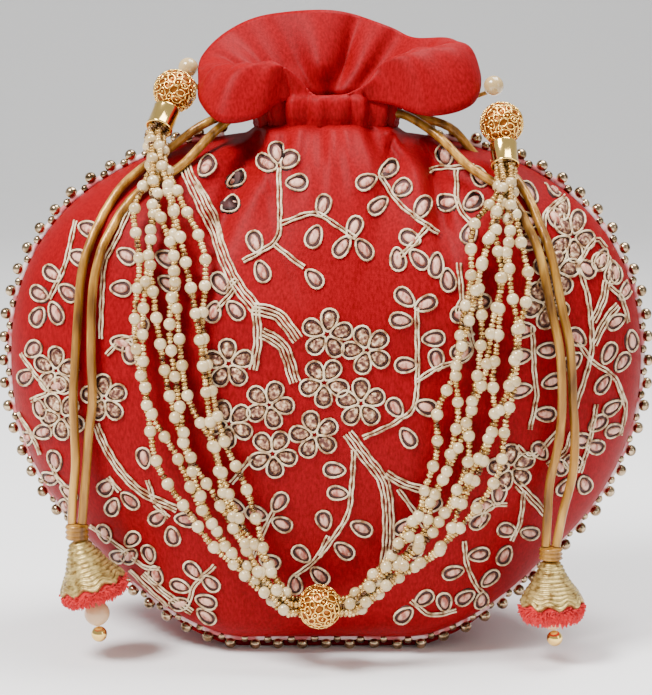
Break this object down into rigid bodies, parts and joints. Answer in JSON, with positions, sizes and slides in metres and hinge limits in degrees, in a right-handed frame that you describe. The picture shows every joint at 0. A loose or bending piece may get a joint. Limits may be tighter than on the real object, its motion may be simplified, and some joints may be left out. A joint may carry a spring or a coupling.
{
  "type": "potli bag",
  "caption": "Gathered red silk drawstring potli with floral thread embroidery, beaded seam, pearl strand handle and tassels.",
  "frame": {"origin": "middle of the flat base", "axes": "-Z out of the base, -Y towards the embroidered front, +X to the viewer's right of the front"},
  "size_m": [0.2104, 0.1029, 0.2011],
  "materials": {
    "silk": "satin",
    "edge_beads": "polished",
    "gold_cord": "satin",
    "zari": "satin",
    "chenille": "matte",
    "pearl": "gloss",
    "polished_gold": "polished",
    "filigree": "polished"
  },
  "bodies": {
    "bag": {"front_panel": "silk", "back_panel": "silk", "neck_frill": "silk", "bead_edging": "edge_beads", "drawstring_left": "gold_cord", "handle_anchor_left": "gold_cord", "drawstring_right": "gold_cord", "handle_anchor_right": "gold_cord"},
    "handle": {"centre_ball": "filigree", "end_ball_left": "filigree", "end_cap_left": "polished_gold", "link_pearl_left": "pearl", "end_ball_right": "filigree", "end_cap_right": "polished_gold", "link_pearl_right": "pearl", "strand_left_1": "pearl", "strand_left_2": "pearl", "strand_left_3": "pearl", "strand_left_4": "pearl", "strand_left_5": "pearl", "strand_left_6": "pearl", "strand_left_7": "pearl", "strand_right_1": "pearl", "strand_right_2": "pearl", "strand_right_3": "pearl", "strand_right_4": "pearl", "strand_right_5": "pearl", "strand_right_6": "pearl", "strand_right_7": "pearl"},
    "tassel_left": {"cord_left_outer": "gold_cord", "cord_left_inner": "gold_cord", "cord_knot_left": "gold_cord", "tassel_bell_left": "zari", "tassel_fringe_left": "chenille", "tassel_ball_left": "pearl", "tassel_end_bead_left": "polished_gold"},
    "tassel_right": {"cord_right_outer": "gold_cord", "cord_right_inner": "gold_cord", "cord_knot_right": "gold_cord", "tassel_bell_right": "zari", "tassel_fringe_right": "chenille", "tassel_ball_right": "pearl", "tassel_end_bead_right": "polished_gold"}
  },
  "joints": [
    {"name": "handle_swing", "type": "hinge", "parent": "bag", "child": "handle", "pos_m": [-0.0438, 0.003, 0.183], "axis": [-0.995, 0.0824, 0.0556], "range_deg": [0, 180]},
    {"name": "tassel_left_swing", "type": "hinge", "parent": "bag", "child": "tassel_left", "pos_m": [-0.066, -0.0248, 0.14], "axis": [-1, 0, 0], "range_deg": [0, 60]},
    {"name": "tassel_right_swing", "type": "hinge", "parent": "bag", "child": "tassel_right", "pos_m": [0.0624, -0.0276, 0.14], "axis": [-1, 0, 0], "range_deg": [0, 60]}
  ]
}
